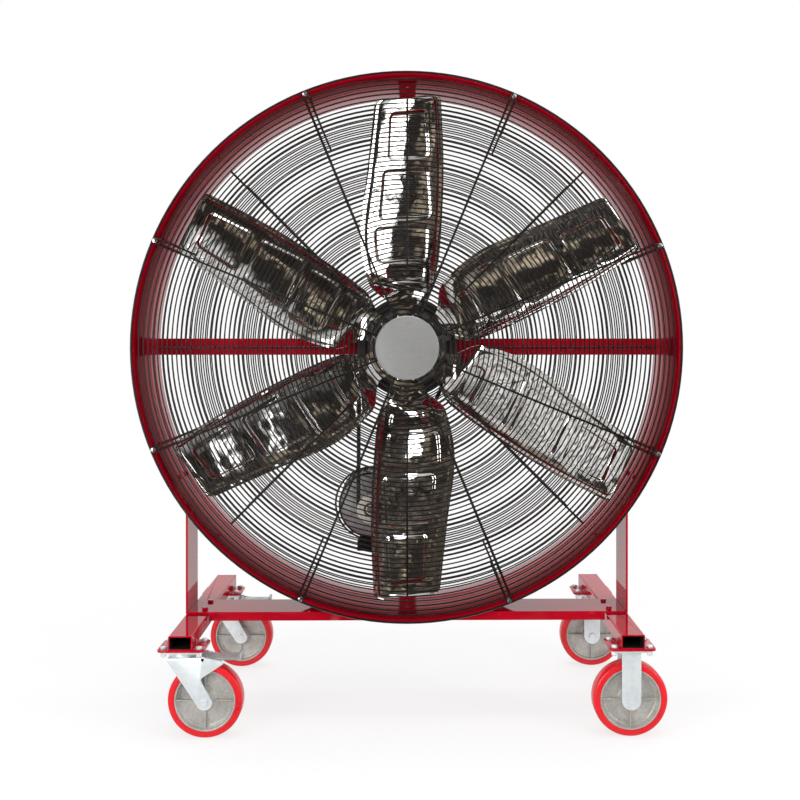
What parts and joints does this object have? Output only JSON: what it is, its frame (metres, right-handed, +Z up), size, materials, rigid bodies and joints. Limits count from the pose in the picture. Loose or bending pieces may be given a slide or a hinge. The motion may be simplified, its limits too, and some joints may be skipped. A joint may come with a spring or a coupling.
{
  "type": "industrial floor fan",
  "caption": "Belt-drive barrel floor fan with polished blades in a red drum between wire guards, on a base with braked swivel and rigid casters.",
  "frame": {"origin": "floor point under the middle of the object's box", "axes": "+Z up, -Y to the front where the air leaves, +X to the right seen from the front"},
  "size_m": [1.5618, 0.762, 1.8377],
  "materials": {
    "red_paint": "gloss red enamel",
    "black_paint": "gloss black",
    "zinc_plate": "bright zinc plate",
    "bright_steel": "brushed",
    "cast_iron": "painted casting",
    "motor_alloy": "cast",
    "stainless": "mirror polished",
    "red_tyre": "polyurethane",
    "cast_aluminium": "as cast",
    "belt_rubber": "matt"
  },
  "bodies": {
    "base": {"base_bolts": "red_paint", "bearing_bolts": "zinc_plate", "caster_bolts": "zinc_plate", "caster_pads": "red_paint", "cross_channel": "red_paint", "drum": "red_paint", "drum_bolts": "red_paint", "drum_saddles": "red_paint", "front_bearing": "cast_iron", "front_guard": "black_paint", "guard_bolts": "zinc_plate", "guard_plate": "bright_steel", "horizontal_strut": "red_paint", "junction_box": "black_paint", "left_leg_tube": "red_paint", "left_upright": "red_paint", "motor_bolts": "zinc_plate", "motor_end_bell": "motor_alloy", "motor_fan_cover": "black_paint", "motor_feet": "black_paint", "motor_mount": "black_paint", "motor_shell": "motor_alloy", "rear_bearing": "cast_iron", "rear_guard": "black_paint", "right_leg_tube": "red_paint", "right_upright": "red_paint", "rigid_axles": "zinc_plate", "rigid_forks": "zinc_plate", "strut_straps": "red_paint", "swivel_plates": "zinc_plate", "v_belt": "belt_rubber", "vertical_strut": "red_paint"},
    "rotor": {"fan_shaft": "bright_steel", "rotor_hub": "cast_iron", "hub_sheave": "cast_iron", "blade_bolts": "zinc_plate", "blade_1": "stainless", "blade_2": "stainless", "blade_3": "stainless", "blade_4": "stainless", "blade_5": "stainless", "blade_6": "stainless"},
    "motor_rotor": {"motor_shaft": "bright_steel", "motor_sheave": "motor_alloy"},
    "front_swivel": {"front_swivel_fork": "zinc_plate", "front_swivel_axle": "zinc_plate"},
    "front_pedal": {"front_brake_pedal": "zinc_plate"},
    "rear_swivel": {"rear_swivel_fork": "zinc_plate", "rear_swivel_axle": "zinc_plate"},
    "rear_pedal": {"rear_brake_pedal": "zinc_plate"},
    "front_left_wheel": {"front_left_tyre": "red_tyre", "front_left_wheel_core": "cast_aluminium"},
    "rear_left_wheel": {"rear_left_tyre": "red_tyre", "rear_left_wheel_core": "cast_aluminium"},
    "front_right_wheel": {"front_right_tyre": "red_tyre", "front_right_wheel_core": "cast_aluminium"},
    "rear_right_wheel": {"rear_right_tyre": "red_tyre", "rear_right_wheel_core": "cast_aluminium"}
  },
  "joints": [
    {"name": "fan_spin", "type": "hinge", "parent": "base", "child": "rotor", "pos_m": [0, 0, 1.05675], "axis": [0, -1, 0], "continuous": true},
    {"name": "motor_spin", "type": "hinge", "parent": "base", "child": "motor_rotor", "pos_m": [-0.11, 0, 0.57075], "axis": [0, -1, 0], "continuous": true},
    {"name": "front_swivel_turn", "type": "hinge", "parent": "base", "child": "front_swivel", "pos_m": [-0.608, -0.324, 0.23], "axis": [0, 0, 1], "continuous": true},
    {"name": "front_pedal_press", "type": "hinge", "parent": "front_swivel", "child": "front_pedal", "pos_m": [-0.552, -0.324, 0.216], "axis": [0, 1, 0], "range_deg": [0, 20], "stiffness_Nm_per_rad": 3},
    {"name": "rear_swivel_turn", "type": "hinge", "parent": "base", "child": "rear_swivel", "pos_m": [-0.608, 0.324, 0.23], "axis": [0, 0, 1], "continuous": true},
    {"name": "rear_pedal_press", "type": "hinge", "parent": "rear_swivel", "child": "rear_pedal", "pos_m": [-0.552, 0.324, 0.216], "axis": [0, 1, 0], "range_deg": [0, 20], "stiffness_Nm_per_rad": 3},
    {"name": "front_left_wheel_spin", "type": "hinge", "parent": "front_swivel", "child": "front_left_wheel", "pos_m": [-0.548, -0.324, 0.1016], "axis": [0, 1, 0], "continuous": true},
    {"name": "rear_left_wheel_spin", "type": "hinge", "parent": "rear_swivel", "child": "rear_left_wheel", "pos_m": [-0.548, 0.324, 0.1016], "axis": [0, 1, 0], "continuous": true},
    {"name": "front_right_wheel_spin", "type": "hinge", "parent": "base", "child": "front_right_wheel", "pos_m": [0.608, -0.324, 0.1016], "axis": [0, 1, 0], "continuous": true},
    {"name": "rear_right_wheel_spin", "type": "hinge", "parent": "base", "child": "rear_right_wheel", "pos_m": [0.608, 0.324, 0.1016], "axis": [0, 1, 0], "continuous": true}
  ],
  "couplings": [
    {"joint": "motor_spin", "follows": "fan_spin", "ratio": 3.9589}
  ]
}
